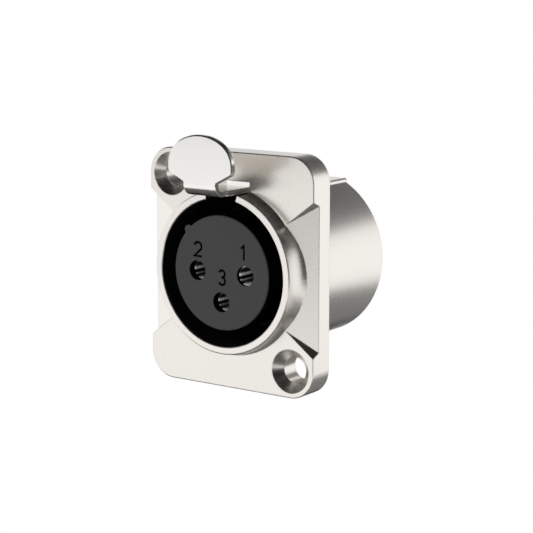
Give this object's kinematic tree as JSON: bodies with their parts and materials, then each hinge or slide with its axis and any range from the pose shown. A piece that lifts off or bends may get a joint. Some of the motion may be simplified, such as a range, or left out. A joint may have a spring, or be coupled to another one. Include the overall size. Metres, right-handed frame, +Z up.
{
  "type": "xlr panel socket",
  "caption": "Panel-mounting female audio socket with a square flange, round barrel, dark contact insert and a press latch on top.",
  "frame": {"origin": "centre of the flange's back face, on the barrel's axis", "axes": "+Y along the barrel, through the panel; +Z up, towards the latch; the socket faces -Y"},
  "size_m": [0.026, 0.0293, 0.0336],
  "materials": {
    "satin_nickel": "satin nickel plate on die-cast zinc",
    "polished_steel": "polished nickel plate on steel sheet",
    "black_plastic": "dark moulded plastic",
    "contact_metal": "silver plate on brass",
    "steel": "plain steel",
    "earth_metal": "tin plate on bronze"
  },
  "bodies": {
    "socket": {"shell": "satin_nickel", "insert_face": "black_plastic", "front_insulator": "black_plastic", "rear_insulator": "black_plastic", "contact_1": "contact_metal", "contact_2": "contact_metal", "contact_3": "contact_metal", "contact_sleeve_1": "steel", "contact_sleeve_2": "steel", "contact_sleeve_3": "steel", "assembly_screw": "steel", "retaining_ring": "steel", "earth_strip": "earth_metal", "latch_pin": "steel"},
    "latch": {"latch_lever": "polished_steel", "latch_spring": "steel"}
  },
  "joints": [
    {"name": "latch_press", "type": "hinge", "parent": "socket", "child": "latch", "pos_m": [0, 0.0126, 0.0099], "axis": [-1, 0, 0], "range_deg": [0, 2.2], "stiffness_Nm_per_rad": 0.003, "springref_deg": -60.16}
  ]
}
